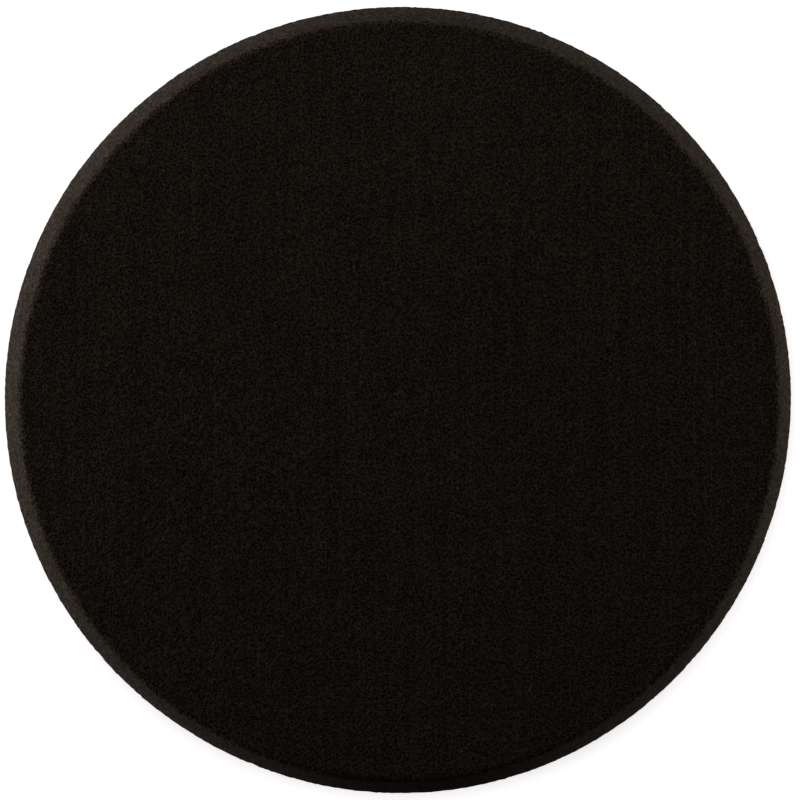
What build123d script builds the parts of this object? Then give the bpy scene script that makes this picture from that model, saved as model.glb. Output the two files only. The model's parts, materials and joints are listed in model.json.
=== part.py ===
from build123d import *
import os

# A round foam polishing pad for a machine with a hook-and-loop backing plate, lying on its loop side.
# Millimetres. +Z runs along the pad's axis towards the working face, and z = 0 is the tips of the loops.
# From the back the layers are loop pile, knitted ground, bonding film and foam, all round and coaxial.

# Driving dimensions
PAD_DIAMETER = 160.0          # the foam at its widest
PAD_THICKNESS = 30.0          # loop tips to working face
PLATE_DIAMETER = 150.0        # the backing plate the pad is made for, and so the loop fabric
FACE_DIAMETER = 151.8         # working face, measured to the corner before it is rounded
SHOULDER_RADIUS = 0.9         # rounding between working face and side wall
WIDEST_FROM = 6.0             # height where the back bevel ends and the foam is widest
WIDEST_TO = 8.0               # height where the side wall starts to taper in to the face
RIM_RADIUS = 1.0              # rounding at both ends of the widest band
FOAM_STEP = 0.5               # foam standing out round the edge of the loop fabric

PILE_HEIGHT = 1.2             # raised loops
GROUND_THICKNESS = 0.5        # knitted ground that the loops stand on
FILM_THICKNESS = 0.3          # hot-melt film between ground and foam
PILE_INSET = 0.4              # bare margin where the cut edge has no standing loops

RECESS_DIAMETER = 22.0        # centring recess for the plate's pilot
RECESS_DEPTH = 10.0           # from the loop tips, ending blind in the foam

# Derived values
FABRIC_RADIUS = PLATE_DIAMETER / 2
RECESS_RADIUS = RECESS_DIAMETER / 2
GROUND_BOTTOM = PILE_HEIGHT
FILM_BOTTOM = GROUND_BOTTOM + GROUND_THICKNESS
FOAM_BOTTOM = FILM_BOTTOM + FILM_THICKNESS


def edges_round(solid, radius, height):
    """The circular edges of a solid with this radius, at this height."""
    circles = solid.edges().filter_by(GeomType.CIRCLE)
    return [e for e in circles if abs(e.radius - radius) < 0.01 and abs(e.center().Z - height) < 0.01]


def ring(radius, bottom, thickness):
    """A flat layer of the laminate, with the centring recess through it."""
    layer = Cylinder(radius, thickness) - Cylinder(RECESS_RADIUS, thickness)
    return Pos(0, 0, bottom + thickness / 2) * layer


def foam_body():
    """Foam disc: half its section turned about the axis, then rounded at the shoulder and the rim."""
    outline = [
        (0, RECESS_DEPTH),
        (RECESS_RADIUS, RECESS_DEPTH),
        (RECESS_RADIUS, FOAM_BOTTOM),
        (FABRIC_RADIUS + FOAM_STEP, FOAM_BOTTOM),
        (PAD_DIAMETER / 2, WIDEST_FROM),
        (PAD_DIAMETER / 2, WIDEST_TO),
        (FACE_DIAMETER / 2, PAD_THICKNESS),
        (0, PAD_THICKNESS),
    ]
    section = make_face(Plane.XZ * Polyline(*outline, close=True))
    foam = revolve(section, Axis.Z)
    foam = fillet(edges_round(foam, FACE_DIAMETER / 2, PAD_THICKNESS), SHOULDER_RADIUS)
    for height in (WIDEST_FROM, WIDEST_TO):
        foam = fillet(edges_round(foam, PAD_DIAMETER / 2, height), RIM_RADIUS)
    return foam


def adhesive_film():
    """Hot-melt film that bonds the loop fabric to the foam."""
    return ring(FABRIC_RADIUS, FILM_BOTTOM, FILM_THICKNESS)


def loop_ground():
    """Knitted ground of the loop fabric."""
    return ring(FABRIC_RADIUS, GROUND_BOTTOM, GROUND_THICKNESS)


def loop_pile():
    """Raised loops of the fabric, as the layer that they fill."""
    return ring(FABRIC_RADIUS - PILE_INSET, 0, PILE_HEIGHT)


os.makedirs("parts", exist_ok=True)
for sub_part in (foam_body, adhesive_film, loop_ground, loop_pile):
    export_step(sub_part(), f"parts/{sub_part.__name__}.step")
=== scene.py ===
import json
import math
from itertools import product

import bpy
import numpy as np
from mathutils import Matrix, Vector

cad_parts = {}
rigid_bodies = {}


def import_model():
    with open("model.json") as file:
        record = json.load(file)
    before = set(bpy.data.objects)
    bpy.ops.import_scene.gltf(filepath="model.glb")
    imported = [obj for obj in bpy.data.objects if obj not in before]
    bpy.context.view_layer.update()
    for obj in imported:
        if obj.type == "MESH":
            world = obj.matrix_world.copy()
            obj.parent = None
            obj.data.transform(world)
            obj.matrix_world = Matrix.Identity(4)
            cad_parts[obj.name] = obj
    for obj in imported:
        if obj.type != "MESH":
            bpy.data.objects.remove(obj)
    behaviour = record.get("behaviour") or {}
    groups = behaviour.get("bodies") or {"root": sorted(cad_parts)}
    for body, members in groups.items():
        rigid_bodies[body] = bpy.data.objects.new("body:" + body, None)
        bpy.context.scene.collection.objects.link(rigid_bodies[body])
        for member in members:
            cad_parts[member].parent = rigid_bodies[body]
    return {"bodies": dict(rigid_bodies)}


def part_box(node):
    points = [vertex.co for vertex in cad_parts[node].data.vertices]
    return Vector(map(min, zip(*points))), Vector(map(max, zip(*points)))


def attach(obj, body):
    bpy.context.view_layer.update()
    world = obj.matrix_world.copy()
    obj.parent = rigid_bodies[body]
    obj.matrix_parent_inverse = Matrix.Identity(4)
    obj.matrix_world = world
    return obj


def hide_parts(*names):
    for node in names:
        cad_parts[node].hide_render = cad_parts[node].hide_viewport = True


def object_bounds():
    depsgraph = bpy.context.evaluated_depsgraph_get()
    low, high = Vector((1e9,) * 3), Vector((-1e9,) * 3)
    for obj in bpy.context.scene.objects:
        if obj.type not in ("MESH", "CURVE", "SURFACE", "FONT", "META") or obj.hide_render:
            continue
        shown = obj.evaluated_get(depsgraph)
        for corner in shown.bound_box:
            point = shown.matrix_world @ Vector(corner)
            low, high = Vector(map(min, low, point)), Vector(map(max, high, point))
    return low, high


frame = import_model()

# A black foam polishing pad lying on its loop side, seen almost straight down on its working face.
# Metres. The frame gives every place: the foam, bonding film, knitted ground and pile lie where the CAD
# nodes of those names do, and the pieces made here replace them.

MM = 0.001
CAD_LOW, CAD_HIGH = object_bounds()
BODY = next(iter(frame["bodies"]))

FOAM_LOW, FOAM_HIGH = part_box("foam_body")
FILM_LOW, FILM_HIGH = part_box("adhesive_film")
GROUND_LOW, GROUND_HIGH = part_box("loop_ground")
PILE_LOW, PILE_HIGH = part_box("loop_pile")

PAD_RADIUS = FOAM_HIGH.x
FACE_Z = FOAM_HIGH.z
FACE_RADIUS = 75.9 * MM          # to the corner, before the shoulder is rounded
SHOULDER_RADIUS = 0.9 * MM
WIDEST_FROM, WIDEST_TO = 6.0 * MM, 8.0 * MM
RIM_RADIUS = 1.0 * MM
FOAM_STEP = 0.5 * MM              # foam past the edge of the loop fabric
RECESS_RADIUS = 11.0 * MM
RECESS_TOP = 10.0 * MM


# ---------------------------------------------------------------- random fields and meshes

AXIS_FACTORS = (73856093, 19349663, 83492791)
SEED_FACTOR = 2654435761
MIXING = ((15, 2246822519), (13, 3266489917), (16, 668265263))      # shifts and odd multipliers
WORD = 2**32
LATTICE_SHIFT = 1000              # keeps lattice points positive
JITTER = 0.28                     # how far mesh points stray, as a share of their pitch


def hashed(lattice, seed):
    """A repeatable value from -1 to 1 for each whole-number lattice point."""
    word = np.full(len(lattice), seed * SEED_FACTOR % WORD, dtype=np.uint64)
    for axis, factor in zip(lattice.astype(np.uint64).T, AXIS_FACTORS):
        word ^= axis * np.uint64(factor)
    for shift, times in MIXING:
        word = (word ^ (word >> np.uint64(shift))) * np.uint64(times) & np.uint64(WORD - 1)
    return word.astype(float) / (WORD / 2) - 1


def lumps(points, pitch, seed):
    """A smooth field from -1 to 1 that varies over about pitch, which is one length or three."""
    cell = points / np.broadcast_to(pitch, 3) + LATTICE_SHIFT
    low = np.floor(cell)
    part = cell - low
    part = part * part * (3 - 2 * part)
    low = low.astype(np.int64)
    total = np.zeros(len(points))
    for corner in product((0, 1), repeat=3):
        weight = np.prod(np.where(corner, part, 1 - part), axis=1)
        total += weight * hashed(low + corner, seed)
    return total


def mesh_piece(name, points, faces, node, material):
    """A new mesh object that rides on the pad and stands for a CAD node."""
    mesh = bpy.data.meshes.new(name)
    mesh.from_pydata(points.tolist(), [], faces)
    mesh.polygons.foreach_set("use_smooth", [True] * len(mesh.polygons))
    mesh.materials.append(material)
    mesh.update()
    piece = bpy.data.objects.new(name, mesh)
    bpy.context.scene.collection.objects.link(piece)
    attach(piece, BODY)
    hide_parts(node)
    return piece


def rounded_outline(corners):
    """Rows of r, z, outward r, outward z and pitch, along an outline of (r, z, rounding, pitch) corners.

    The outline runs from the axis outwards over the top, down and back to the axis. Each corner's pitch
    holds for its own arc and for the stretch that follows it.
    """
    places = [np.array(c[:2]) for c in corners]
    rows = []

    def along(start, end, pitch, outward):
        steps = max(1, round(np.linalg.norm(end - start) / pitch))
        for k in range(steps):
            rows.append((*(start + (end - start) * k / steps), *outward, pitch))

    start = places[0]
    for i in range(1, len(corners)):
        pitch = corners[i - 1][3]
        way = (places[i] - places[i - 1]) / np.linalg.norm(places[i] - places[i - 1])
        outward = np.array((-way[1], way[0]))
        if i == len(corners) - 1:
            along(start, places[i], pitch, outward)
            rows.append((*places[i], *outward, pitch))
            break
        after = (places[i + 1] - places[i]) / np.linalg.norm(places[i + 1] - places[i])
        turn = math.atan2(way[0] * after[1] - way[1] * after[0], way @ after)
        side = -np.sign(turn)
        rounding = corners[i][2]
        tangent = rounding * math.tan(abs(turn) / 2)
        along(start, places[i] - way * tangent, pitch, outward)
        centre = places[i] - way * tangent - outward * rounding * side
        steps = max(1, math.ceil(rounding * abs(turn) / corners[i][3]))
        for k in range(steps):
            a = turn * k / steps
            spun = np.array((outward[0] * math.cos(a) - outward[1] * math.sin(a),
                             outward[0] * math.sin(a) + outward[1] * math.cos(a)))
            rows.append((*(centre + spun * rounding * side), *spun, corners[i][3]))
        start = places[i] + after * tangent
    return np.array(rows)


def ring_count(r, pitch):
    """How many points stand about one pitch apart on a ring of radius r."""
    return max(6, round(2 * math.pi * r / pitch))


def turned(rows, rng, jitter=JITTER):
    """A closed mesh turned from outline rows, with rings whose points stand about one pitch apart.

    Gives points, outward directions and triangles. Rings start at random angles, and points are moved a
    little within the surface, so that the rings can't be seen, but never near the next row.
    """
    points, outward, rings = [], [], []
    steps = np.linalg.norm(np.diff(rows[:, :2], axis=0), axis=1)
    room = np.minimum(np.append(steps, steps[-1]), np.insert(steps, 0, steps[0]))
    for (r, z, nr, nz, pitch), gap in zip(rows, room):
        if r == 0:
            rings.append(([0.0], len(points)))
            points.append((0, 0, z))
            outward.append((0, 0, nz))
            continue
        count = ring_count(r, pitch)
        angles = (rng.random() + np.arange(count)) * 2 * math.pi / count
        here = angles + rng.uniform(-jitter, jitter, count) * 2 * math.pi / count
        slide = rng.uniform(-jitter, jitter, count) * min(pitch, gap)
        rr, zz = r + slide * nz, z - slide * nr
        rings.append((angles.tolist(), len(points)))
        points += zip(rr * np.cos(here), rr * np.sin(here), zz)
        outward += zip(nr * np.cos(here), nr * np.sin(here), np.full(count, nz))
    faces = []
    for (a, first_a), (b, first_b) in zip(rings, rings[1:]):
        faces += zipped(a, first_a, b, first_b)
    return np.array(points), np.array(outward), faces


def zipped(a, first_a, b, first_b):
    """Triangles between two rings, each given by its rising angles and the number of its first point."""
    if len(a) == 1:
        return [(first_a, first_b + k, first_b + (k + 1) % len(b)) for k in range(len(b))]
    if len(b) == 1:
        return [(first_b, first_a + (k + 1) % len(a), first_a + k) for k in range(len(a))]
    faces, i, j = [], 0, 0
    full = 2 * math.pi
    while i < len(a) or j < len(b):
        next_a = a[(i + 1) % len(a)] + full * ((i + 1) // len(a))
        next_b = b[(j + 1) % len(b)] + full * ((j + 1) // len(b))
        pa, pb = first_a + i % len(a), first_b + j % len(b)
        if j >= len(b) or (i < len(a) and next_a <= next_b):
            faces.append((pa, pb, first_a + (i + 1) % len(a)))
            i += 1
        else:
            faces.append((pa, pb, first_b + (j + 1) % len(b)))
            j += 1
    return faces


# ---------------------------------------------------------------- materials

NOISE_SPAN = (0.3, 0.7)           # where most values of a noise lie


class Nodes:
    """A short hand for building one material's node tree."""

    def __init__(self, name):
        self.material = bpy.data.materials.new(name)
        self.material.use_nodes = True
        self.tree = self.material.node_tree
        self.shader = self.tree.nodes["Principled BSDF"]
        self.place = self.add("ShaderNodeTexCoord").outputs["Object"]

    def add(self, kind, **settings):
        node = self.tree.nodes.new(kind)
        for key, value in settings.items():
            setattr(node, key, value)
        return node

    def link(self, source, target):
        if isinstance(source, (int, float, tuple)):
            target.default_value = source
        else:
            self.tree.links.new(source, target)

    def noise(self, pitch, detail=2.0, rough=0.5):
        """Noise of one pitch, or stretched to a pitch of its own along X, Y and Z."""
        node = self.add("ShaderNodeTexNoise")
        place, scale = self.place, 1.0
        if isinstance(pitch, tuple):
            stretch = self.add("ShaderNodeMapping")
            self.link(self.place, stretch.inputs["Vector"])
            stretch.inputs["Scale"].default_value = [1 / p for p in pitch]
            place = stretch.outputs["Vector"]
        else:
            scale = 1 / pitch
        self.link(place, node.inputs["Vector"])
        node.inputs["Scale"].default_value = scale
        node.inputs["Detail"].default_value = detail
        node.inputs["Roughness"].default_value = rough
        return node.outputs["Fac"]

    def cells(self, pitch):
        node = self.add("ShaderNodeTexVoronoi", feature="F1")
        self.link(self.place, node.inputs["Vector"])
        node.inputs["Scale"].default_value = 1 / pitch
        return node

    def math(self, operation, a, b=0.0):
        node = self.add("ShaderNodeMath", operation=operation)
        self.link(a, node.inputs[0])
        self.link(b, node.inputs[1])
        return node.outputs[0]

    def total(self, value, *others):
        for other in others:
            value = self.math("ADD", value, other)
        return value

    def spread(self, value, low, high, to_low, to_high):
        node = self.add("ShaderNodeMapRange")
        for key, v in zip(("Value", "From Min", "From Max", "To Min", "To Max"),
                          (value, low, high, to_low, to_high)):
            self.link(v, node.inputs[key])
        return node.outputs["Result"]

    def ramp(self, value, *stops):
        node = self.add("ShaderNodeValToRGB")
        self.link(value, node.inputs["Fac"])
        marks = node.color_ramp.elements
        while len(marks) < len(stops):
            marks.new(0.5)
        for mark, (at, colour) in zip(marks, stops):
            mark.position = at
            mark.color = (*colour, 1)
        return node.outputs["Color"]

    def bump(self, height, strength, distance):
        node = self.add("ShaderNodeBump")
        self.link(height, node.inputs["Height"])
        node.inputs["Strength"].default_value = strength
        node.inputs["Distance"].default_value = distance
        return node.outputs["Normal"]

    def facing_side(self):
        """1 where the surface stands upright, and 0 where it lies flat."""
        way = self.add("ShaderNodeSeparateXYZ")
        self.link(self.add("ShaderNodeTexCoord").outputs["Normal"], way.inputs["Vector"])
        return self.spread(self.math("ABSOLUTE", way.outputs["Z"]), 0.35, 0.85, 1.0, 0.0)

    def finish(self, colour, roughness, normal, **constants):
        self.link(colour, self.shader.inputs["Base Color"])
        self.link(roughness, self.shader.inputs["Roughness"])
        self.link(normal, self.shader.inputs["Normal"])
        for key, value in constants.items():
            self.shader.inputs[key.replace("_", " ")].default_value = value
        return self.material


def wall_tone_and_sheen(m):
    """What the side wall adds to the foam's tone: taller clumps of cells, and a painted sheen that makes it
    lighter towards the back.
    """
    clump = m.noise((0.8 * MM, 0.8 * MM, 1.9 * MM), 2.0, 0.6)
    height = m.add("ShaderNodeSeparateXYZ")
    m.link(m.place, height.inputs["Vector"])
    # painted sheen: the wall is made lighter towards the back, where grazing light would brighten it
    painted_sheen = m.spread(height.outputs["Z"], WIDEST_TO, FACE_Z, 0.085, -0.015)
    return m.math("ADD", m.spread(clump, *NOISE_SPAN, -0.18, 0.18), painted_sheen)


def foam_material():
    """Warm near-black open-cell foam: cell mouths with painted shade, lighter struts, and faint knife marks
    along Y.
    """
    m = Nodes("black_foam")
    cell = m.cells(0.56 * MM)
    strut = m.spread(cell.outputs["Distance"], 0.12, 0.62, 0.0, 1.0)
    tone = m.add("ShaderNodeSeparateColor")
    m.link(cell.outputs["Color"], tone.inputs["Color"])
    grain = m.noise(0.36 * MM, 2.0, 0.6)
    patch = m.noise(14 * MM, 3.0, 0.55)
    marks = m.noise((0.9 * MM, 70 * MM, 9 * MM), 1.5, 0.5)
    # painted shade: the cell mouths are made darker than the struts, as the shade inside open pores
    light = m.total(m.math("MULTIPLY", strut, 0.51),
                    m.math("MULTIPLY", tone.outputs["Red"], 0.05),
                    m.spread(grain, *NOISE_SPAN, -0.225, 0.205),
                    m.spread(patch, *NOISE_SPAN, 0.045, 0.09),
                    m.spread(marks, *NOISE_SPAN, -0.04, 0.04),
                    m.math("MULTIPLY", wall_tone_and_sheen(m), m.facing_side()))
    colour = m.ramp(light,
                    (0.00, (0.0028, 0.0025, 0.0017)),
                    (0.30, (0.0092, 0.0083, 0.0053)),
                    (0.60, (0.0262, 0.0236, 0.0154)),
                    (1.00, (0.0700, 0.0630, 0.0415)))
    height = m.math("ADD", strut, m.math("MULTIPLY", grain, 0.5))
    normal = m.bump(height, 0.55, 0.16 * MM)
    rough = m.spread(grain, *NOISE_SPAN, 0.86, 0.98)
    return m.finish(colour, rough, normal, Specular_IOR_Level=0.03, Sheen_Weight=0.008,
                    Sheen_Roughness=0.55, Sheen_Tint=(1.0, 0.90, 0.80, 1.0))


def film_material():
    """Dark, slightly glossy hot-melt film."""
    m = Nodes("hot_melt_film")
    flow = m.noise(1.6 * MM, 3.0, 0.6)
    colour = m.ramp(flow, (0.3, (0.020, 0.019, 0.017)), (0.7, (0.050, 0.047, 0.042)))
    normal = m.bump(m.noise(0.5 * MM, 3.0), 0.4, 0.1 * MM)
    return m.finish(colour, m.spread(flow, *NOISE_SPAN, 0.30, 0.55), normal, Specular_IOR_Level=0.4)


def ground_material():
    """Charcoal knitted ground: wales along Y, courses along X, fine yarn fibres."""
    m = Nodes("knitted_ground")
    fibre = m.noise(0.16 * MM, 3.0, 0.6)
    yarn = m.noise((0.5 * MM, 1.6 * MM, 1.0 * MM), 2.0, 0.5)
    tone = m.math("ADD", m.math("MULTIPLY", fibre, 0.6), m.math("MULTIPLY", yarn, 0.4))
    colour = m.ramp(tone, (0.32, (0.017, 0.0185, 0.0178)), (0.68, (0.056, 0.061, 0.0585)))
    normal = m.bump(tone, 0.6, 0.12 * MM)
    return m.finish(colour, m.spread(fibre, *NOISE_SPAN, 0.75, 0.95), normal, Specular_IOR_Level=0.25,
                    Sheen_Weight=0.10, Sheen_Roughness=0.4)


def yarn_material():
    """Charcoal nylon pile yarn: filaments along each loop, slightly lustrous."""
    m = Nodes("pile_yarn")
    fibre = m.noise(0.10 * MM, 3.0, 0.6)
    batch = m.noise(4.0 * MM, 2.0, 0.5)
    tone = m.math("ADD", m.math("MULTIPLY", fibre, 0.7), m.math("MULTIPLY", batch, 0.3))
    colour = m.ramp(tone, (0.32, (0.028, 0.0305, 0.0295)), (0.68, (0.102, 0.111, 0.107)))
    normal = m.bump(fibre, 0.5, 0.05 * MM)
    return m.finish(colour, m.spread(fibre, *NOISE_SPAN, 0.45, 0.7), normal, Specular_IOR_Level=0.35,
                    Sheen_Weight=0.08, Sheen_Roughness=0.35)


# ---------------------------------------------------------------- foam

FACE_PITCH = 0.58 * MM            # between mesh points, about one cell
SIDE_PITCH = 0.66 * MM
RECESS_PITCH = 1.0 * MM
HIDDEN_PITCH = 3.0 * MM
HIDDEN_RADIUS = 0.3 * MM          # rounding of the edges at the back
LOBES = ((0.15, 3, 2.6), (0.06, 2, 1.8), (0.04, 5, -0.6))     # size in mm, number round the disc, turn
MARK_PITCH = (0.9 * MM, 60 * MM, 1.0)      # across the knife marks, along them, and through the disc
MARK_DEPTH = 0.012 * MM
MARK_BANDS = ((57 * MM, 9 * MM, 1.0), (3 * MM, 14 * MM, 0.6))      # middle in X, half width, strength
FACE_GRAIN, SIDE_GRAIN = 0.022 * MM, 0.042 * MM
FACE_PORES = (150, 0.7 * MM, 1.1 * MM, 0.14 * MM)      # how many, smallest and largest radius, depth
SIDE_PORES = (160, 0.8 * MM, 1.3 * MM, 0.16 * MM)


def pores(points, where, rng, count, low, high, depth):
    """Depth to sink each point by, for round pores scattered over the chosen points."""
    sunk = np.zeros(len(points))
    for centre in points[rng.choice(np.nonzero(where)[0], count, replace=False)]:
        size = rng.uniform(low, high)
        near = ((points - centre) ** 2).sum(1) / size**2
        sunk = np.maximum(sunk, np.clip(1 - near, 0, None) * depth * rng.uniform(0.5, 1.0))
    return sunk


def foam_outline():
    """The foam's half section, from the middle of the face round to the middle of the recess."""
    bottom, wall = FOAM_LOW.z, FILM_HIGH.x + FOAM_STEP
    return rounded_outline([
        (0, FACE_Z, 0, FACE_PITCH),
        (FACE_RADIUS, FACE_Z, SHOULDER_RADIUS, SIDE_PITCH),
        (PAD_RADIUS, WIDEST_TO, RIM_RADIUS, SIDE_PITCH),
        (PAD_RADIUS, WIDEST_FROM, RIM_RADIUS, SIDE_PITCH),
        (wall, bottom, HIDDEN_RADIUS, HIDDEN_PITCH),
        (RECESS_RADIUS, bottom, HIDDEN_RADIUS, RECESS_PITCH),
        (RECESS_RADIUS, RECESS_TOP, HIDDEN_RADIUS, RECESS_PITCH),
        (0, RECESS_TOP, 0, RECESS_PITCH),
    ])


def out_of_round(points):
    """How far hand-fed cutting leaves each point of the side in or out: nothing at the face, most below."""
    x, y, z = points.T
    around = np.arctan2(y, x)
    oval = sum(size * np.cos(number * around - turn) for size, number, turn in LOBES) * MM
    near_edge = np.clip((np.hypot(x, y) - 60 * MM) / (15 * MM), 0, 1)
    below_face = np.clip((FACE_Z - z) / (FACE_Z - WIDEST_TO), 0, 1)
    return oval * near_edge * below_face


def face_relief(points):
    """Knife marks along Y, deeper in two bands, and the slow swell of a soft face."""
    x = points[:, 0]
    band = 0.35 + sum(strength * np.exp(-((x - middle) / half) ** 2)
                      for middle, half, strength in MARK_BANDS)
    marks = lumps(points, MARK_PITCH, 3) * band * MARK_DEPTH
    return marks + lumps(points, 34 * MM, 5) * 0.09 * MM + lumps(points, 9 * MM, 6) * 0.014 * MM


def side_relief(points):
    """The slightly uneven cut of the side wall."""
    waves = lumps(points, (9 * MM, 9 * MM, 5 * MM), 8) * 0.03 * MM
    return waves + lumps(points, 2.2 * MM, 9) * 0.022 * MM


def make_foam():
    """The foam disc, turned, cut a little out of round and given its cell-scale relief."""
    rng = np.random.default_rng(11)
    points, outward, faces = turned(foam_outline(), rng)
    r, z = np.hypot(points[:, 0], points[:, 1]), points[:, 2]
    face = (outward[:, 2] > 0.99) & (z > FACE_Z - 0.5 * MM)
    side = (z > FOAM_LOW.z + 0.4 * MM) & (r > RECESS_RADIUS + 5 * MM) & ~face
    points[:, :2] *= (1 + side * out_of_round(points) / np.maximum(r, MM))[:, None]

    grain = rng.normal(0, 1, len(points)) * np.where(side, SIDE_GRAIN, FACE_GRAIN)
    height = lumps(points, 1.7 * MM, 7) * 0.007 * MM + grain
    height += face * face_relief(points) + side * side_relief(points)
    height -= pores(points, face, rng, *FACE_PORES)
    height -= pores(points, side, rng, *SIDE_PORES)
    points += outward * np.where(face | side, height, 0.2 * grain)[:, None]
    piece = mesh_piece("foam_disc", points, faces, "foam_body", foam_material())


# ---------------------------------------------------------------- loop fabric and bonding film

def ring_rows(outer, low, high, rounding, pitch, hidden):
    """Outline rows of a flat ring round the recess, closed on itself, starting inside at the top."""
    return rounded_outline([
        (RECESS_RADIUS, (low + high) / 2, 0, pitch),
        (RECESS_RADIUS, high, rounding, hidden),
        (outer, high, rounding, pitch),
        (outer, low, rounding, pitch),
        (RECESS_RADIUS, low, rounding, pitch),
        (RECESS_RADIUS, (low + high) / 2, 0, pitch),
    ])


def closed_ring(rows, rng, jitter=JITTER):
    """Like turned, for an outline that ends where it starts: the last row is the first ring again."""
    points, outward, faces = turned(rows[:-1], rng, jitter)
    counts = [ring_count(row[0], row[4]) for row in rows[:-1]]
    last, first = counts[-1], counts[0]
    start = sum(counts[:-1])
    a = np.arctan2(points[start:, 1], points[start:, 0])
    b = np.arctan2(points[:first, 1], points[:first, 0])
    order_a, order_b = np.argsort(a), np.argsort(b)
    joined = zipped(a[order_a].tolist(), 0, b[order_b].tolist(), last)
    number = np.concatenate((start + order_a, order_b))
    faces += [tuple(int(number[k]) for k in f) for f in joined]
    return points, outward, faces


BEAD_WIDTH = 1.0 * MM             # of the film's squeezed-out edge
WALE_PITCH = 1.6 * MM
COURSE_PITCH = 1.3 * MM


def make_film():
    """The bonding film, with an uneven bead where it was squeezed out."""
    rng = np.random.default_rng(21)
    rows = ring_rows(FILM_HIGH.x, FILM_LOW.z, FILM_HIGH.z, 0.1 * MM, 0.7 * MM, 4 * MM)
    points, _, faces = closed_ring(rows, rng)
    r = np.hypot(points[:, 0], points[:, 1])
    squeezed = np.clip((r - FILM_HIGH.x + BEAD_WIDTH) / BEAD_WIDTH, 0, 1)
    bead = squeezed * (0.12 + 0.16 * lumps(points, (6 * MM, 6 * MM, 1), 22)) * MM
    points[:, :2] *= (1 + bead / r)[:, None]
    mesh_piece("bond_film", points, faces, "adhesive_film", film_material())


def make_ground():
    """The knitted ground, with wales and courses underneath and a frayed edge."""
    rng = np.random.default_rng(31)
    rows = ring_rows(GROUND_HIGH.x, GROUND_LOW.z, GROUND_HIGH.z, 0.15 * MM, 0.55 * MM, 4 * MM)
    points, outward, faces = closed_ring(rows, rng, jitter=0.2)
    x, y = points[:, 0], points[:, 1]
    wales = np.cos(2 * math.pi * x / WALE_PITCH) * 0.05 * MM
    courses = np.cos(2 * math.pi * y / COURSE_PITCH) * 0.03 * MM
    under = outward[:, 2] < -0.9
    edge = abs(outward[:, 2]) < 0.5
    points[:, 2] -= under * (wales + courses)
    fray = lumps(points, 0.9 * MM, 32) * 0.08 * MM * edge
    points += outward * fray[:, None]
    return mesh_piece("ground_cloth", points, faces, "loop_ground", ground_material())


LOOP_PITCH = 1.5 * MM
YARN_RADIUS = 0.13 * MM
YARN_SIDES = 3
PILE_TOP = GROUND_LOW.z + 0.10 * MM
PILE_TIP = PILE_LOW.z + YARN_RADIUS + 0.02 * MM
EDGE_ROWS = 4
EDGE_ROW_PITCH = 0.45 * MM
EDGE_LOOP_PITCH = 0.62 * MM
EDGE_MARGIN = 0.35 * MM           # from the outermost row of loose loops to where yarns may reach


def yarn_path(x, y0, y1, rng):
    """One pile yarn along Y, which rises out of the ground and dives back in at every loop."""
    loops = max(1, round((y1 - y0) / LOOP_PITCH))
    step = (y1 - y0) / loops
    path = [(x, y0, PILE_TOP)]
    for k in range(loops):
        lean = rng.normal(0, 0.30) * MM + 0.35 * MM * (-1) ** k
        spread = rng.uniform(0.26, 0.40) * step
        tip = PILE_TIP + min(abs(rng.normal(0, 0.16)), 0.5) * MM
        middle = y0 + step * (k + 0.5) + rng.normal(0, 0.12) * MM
        half = PILE_TOP + (tip - PILE_TOP) * 0.62
        path += [(x + lean * 0.6, middle - spread, half), (x + lean, middle, tip),
                 (x + lean * 0.6, middle + spread, half),
                 (x + rng.normal(0, 0.08) * MM, y0 + step * (k + 1), PILE_TOP)]
    return np.array(path)


def edge_loop(r, bearing, rng):
    """One loose loop near the cut edge, turned any way and leaning a little in or out."""
    outwards = np.array((math.cos(bearing), math.sin(bearing), 0))
    foot = r * outwards
    turn = rng.uniform(0, 2 * math.pi)
    along = np.array((math.cos(turn), math.sin(turn), 0))
    half_width = rng.uniform(0.28, 0.45) * MM
    lean = outwards * rng.uniform(-0.2, 0.25) * MM
    tip = PILE_TIP + abs(rng.normal(0, 0.14)) * MM
    up = np.array((0, 0, 1))
    top = up * PILE_TOP
    half = up * (PILE_TOP + (tip - PILE_TOP) * 0.6) + lean * 0.6
    aside = along * half_width
    return foot + np.array([top - aside * 0.5, half - aside, lean + up * tip,
                            half + aside, top + aside * 0.5])


def tube(path, radius, sides, first):
    """Points and triangles of a capped tube round a path, numbering its points from first."""
    way = np.gradient(path, axis=0)
    way /= np.linalg.norm(way, axis=1)[:, None]
    across = np.cross(way, (1.0, 0, 0))
    across /= np.linalg.norm(across, axis=1)[:, None]
    beside = np.cross(way, across)
    turns = 2 * math.pi * np.arange(sides) / sides
    rim = (across[:, None] * np.cos(turns)[None, :, None] + beside[:, None] * np.sin(turns)[None, :, None])
    points = (path[:, None] + rim * radius).reshape(-1, 3)
    faces = []
    for i in range(len(path) - 1):
        for s in range(sides):
            a, b = first + i * sides + s, first + i * sides + (s + 1) % sides
            faces += [(a, b, b + sides), (a, b + sides, a + sides)]
    faces.append(tuple(first + s for s in reversed(range(sides))))
    faces.append(tuple(first + (len(path) - 1) * sides + s for s in range(sides)))
    return points, faces


def pile_piece(name, paths):
    """One piece made of a tube along each path."""
    points, faces, count = [], [], 0
    for path in paths:
        p, f = tube(path, YARN_RADIUS, YARN_SIDES, count)
        points.append(p)
        faces += f
        count += len(p)
    return mesh_piece(name, np.concatenate(points), faces, "loop_pile", yarn_material())


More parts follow.
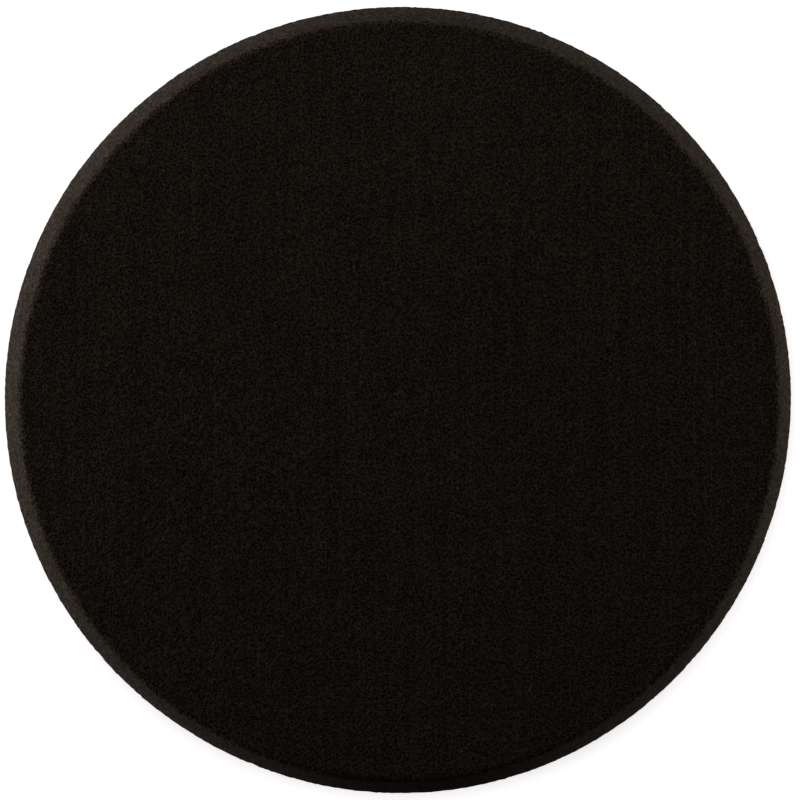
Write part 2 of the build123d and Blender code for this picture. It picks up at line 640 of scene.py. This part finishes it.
def make_pile():
    """Long yarns looped all over the fabric, and a fringe of loose loops where its edge was cut."""
    rng = np.random.default_rng(41)
    outer, inner = PILE_HIGH.x - YARN_RADIUS, RECESS_RADIUS + 0.4 * MM
    paths = []
    wales = math.floor(outer / WALE_PITCH)
    for w in range(-wales, wales + 1):
        x = w * WALE_PITCH + rng.normal(0, 0.06) * MM
        end = math.sqrt(max(outer**2 - x**2, 0)) - 0.2 * MM
        stretches = [(-end, end)]
        if abs(x) < inner:
            gap = math.sqrt(inner**2 - x**2)
            stretches = [(-end, -gap), (gap, end)]
        paths += [yarn_path(x, y0, y1, rng) for y0, y1 in stretches if y1 - y0 >= LOOP_PITCH]
    fringe = []
    for row in range(EDGE_ROWS):
        r = outer - EDGE_MARGIN - row * EDGE_ROW_PITCH
        count = round(2 * math.pi * r / EDGE_LOOP_PITCH)
        for k in range(count):
            bearing = (k + rng.uniform(-0.3, 0.3)) * 2 * math.pi / count
            fringe.append(edge_loop(r + rng.normal(0, 0.08) * MM, bearing, rng))
    return pile_piece("pile_loops", paths), pile_piece("pile_fringe", fringe)


# ---------------------------------------------------------------- floor, light and camera

CONTACT_SHADE = 8.0 * MM          # how far the pad darkens the floor around it
FLOOR_HALF = 30.0
FLOOR_DROP = 0.02 * MM            # from the tips of the loops down to the floor
FLOOR_GLOW = (0.30, 1.0)          # strength where the pad shuts everything out, and in the open


def make_floor():
    """A white floor that glows, so that it is even, with a soft shade where the pad is near."""
    m = Nodes("white_floor")
    near = m.add("ShaderNodeAmbientOcclusion")
    near.inputs["Distance"].default_value = CONTACT_SHADE
    m.link(m.spread(near.outputs["AO"], 0.0, 1.0, *FLOOR_GLOW), m.shader.inputs["Emission Strength"])
    m.finish((0.9, 0.9, 0.9, 1), 0.9, m.bump(m.noise(4 * MM), 0.02, 0.1 * MM), Specular_IOR_Level=0.1,
             Emission_Color=(1, 1, 1, 1))
    corners = [(x * FLOOR_HALF, y * FLOOR_HALF, 0) for x, y in ((-1, -1), (1, -1), (1, 1), (-1, 1))]
    mesh = bpy.data.meshes.new("floor")
    mesh.from_pydata(corners, [], [(0, 1, 2, 3)])
    mesh.materials.append(m.material)
    floor = bpy.data.objects.new("floor", mesh)
    bpy.context.scene.collection.objects.link(floor)
    floor.location.z = CAD_LOW.z - FLOOR_DROP
    floor.visible_diffuse = floor.visible_glossy = False     # the foam would turn grey in its glow


COOL_STRIP = (1.0, 0.87, 0.97)
WARM_STRIP = (1.0, 0.87, 0.92)
TOP_LIGHT = (1.0, 1.0, 0.75)
WORLD_STRENGTH = 0.004            # of the light that reaches the pad from all round


def area_light(name, bearing, elevation, distance, size, watts, colour):
    """A softbox that faces the middle of the pad, its bearing anticlockwise from +X."""
    data = bpy.data.lights.new(name, "AREA")
    data.shape = "RECTANGLE"
    data.size, data.size_y = size
    data.energy = watts
    data.color = colour
    light = bpy.data.objects.new(name, data)
    bpy.context.scene.collection.objects.link(light)
    turn, rise = math.radians(bearing), math.radians(elevation)
    way = Vector((math.cos(turn) * math.cos(rise), math.sin(turn) * math.cos(rise), math.sin(rise)))
    light.location = Vector((0, 0, FACE_Z / 2)) + way * distance
    light.rotation_euler = way.to_track_quat("Z", "Y").to_euler()
    light.visible_camera = False


def make_lights():
    """Low strips close to the side wall, which they light much more than the face, and a weak top light."""
    area_light("left_strip", 183, 6, 0.5, (0.42, 0.09), 2.60, COOL_STRIP)
    area_light("upper_left_strip", 127, 8, 0.45, (0.16, 0.09), 1.14, COOL_STRIP)
    area_light("right_strip", 358, 6, 0.5, (0.34, 0.09), 1.50, WARM_STRIP)
    area_light("upper_right_strip", 47, 8, 0.5, (0.22, 0.09), 0.74, WARM_STRIP)
    area_light("top_softbox", 90, 38, 0.45, (0.30, 0.15), 0.18, TOP_LIGHT)


def make_world():
    """A studio that is all but dark for the pad, and white where the camera looks past everything."""
    world = bpy.data.worlds.new("studio")
    bpy.context.scene.world = world
    world.use_nodes = True
    tree = world.node_tree
    dim = tree.nodes["Background"]
    dim.inputs["Color"].default_value = (*TOP_LIGHT, 1)
    dim.inputs["Strength"].default_value = WORLD_STRENGTH
    white = tree.nodes.new("ShaderNodeBackground")
    white.inputs["Color"].default_value = (1, 1, 1, 1)
    white.inputs["Strength"].default_value = 1.0
    seen = tree.nodes.new("ShaderNodeLightPath")
    mix = tree.nodes.new("ShaderNodeMixShader")
    tree.links.new(seen.outputs["Is Camera Ray"], mix.inputs["Fac"])
    tree.links.new(dim.outputs["Background"], mix.inputs[1])
    tree.links.new(white.outputs["Background"], mix.inputs[2])
    tree.links.new(mix.outputs["Shader"], tree.nodes["World Output"].inputs["Surface"])


CAMERA_HEIGHT = 1.0
CAMERA_LEAN = math.radians(0.88)    # from straight down, towards the upper left of the picture
LEAN_BEARING = math.radians(116)    # anticlockwise from +X
LENS = 219.36                       # long lens that makes the pad fill the picture
AIM = (0.30 * MM, 0.0)              # the pad lies a hair to the left of the picture's middle


def make_camera():
    """The photo's view: nearly straight down, with Y up in the picture."""
    data = bpy.data.cameras.new("camera")
    data.lens = LENS
    data.sensor_width = 36
    data.clip_start, data.clip_end = 0.05, 100
    camera = bpy.data.objects.new("camera", data)
    bpy.context.scene.collection.objects.link(camera)
    aside = math.sin(CAMERA_LEAN)
    back = Vector((math.cos(LEAN_BEARING) * aside, math.sin(LEAN_BEARING) * aside, math.cos(CAMERA_LEAN)))
    camera.location = Vector((*AIM, WIDEST_TO)) + back * (CAMERA_HEIGHT - WIDEST_TO)
    right = Vector((0, 1, 0)).cross(back).normalized()
    up = back.cross(right)
    camera.rotation_euler = Matrix((right, up, back)).transposed().to_euler()
    bpy.context.scene.camera = camera


make_foam()
make_film()
ground = make_ground()
pile, fringe = make_pile()
make_floor()
make_lights()
make_world()
make_camera()
bpy.context.scene.view_settings.view_transform = "Standard"
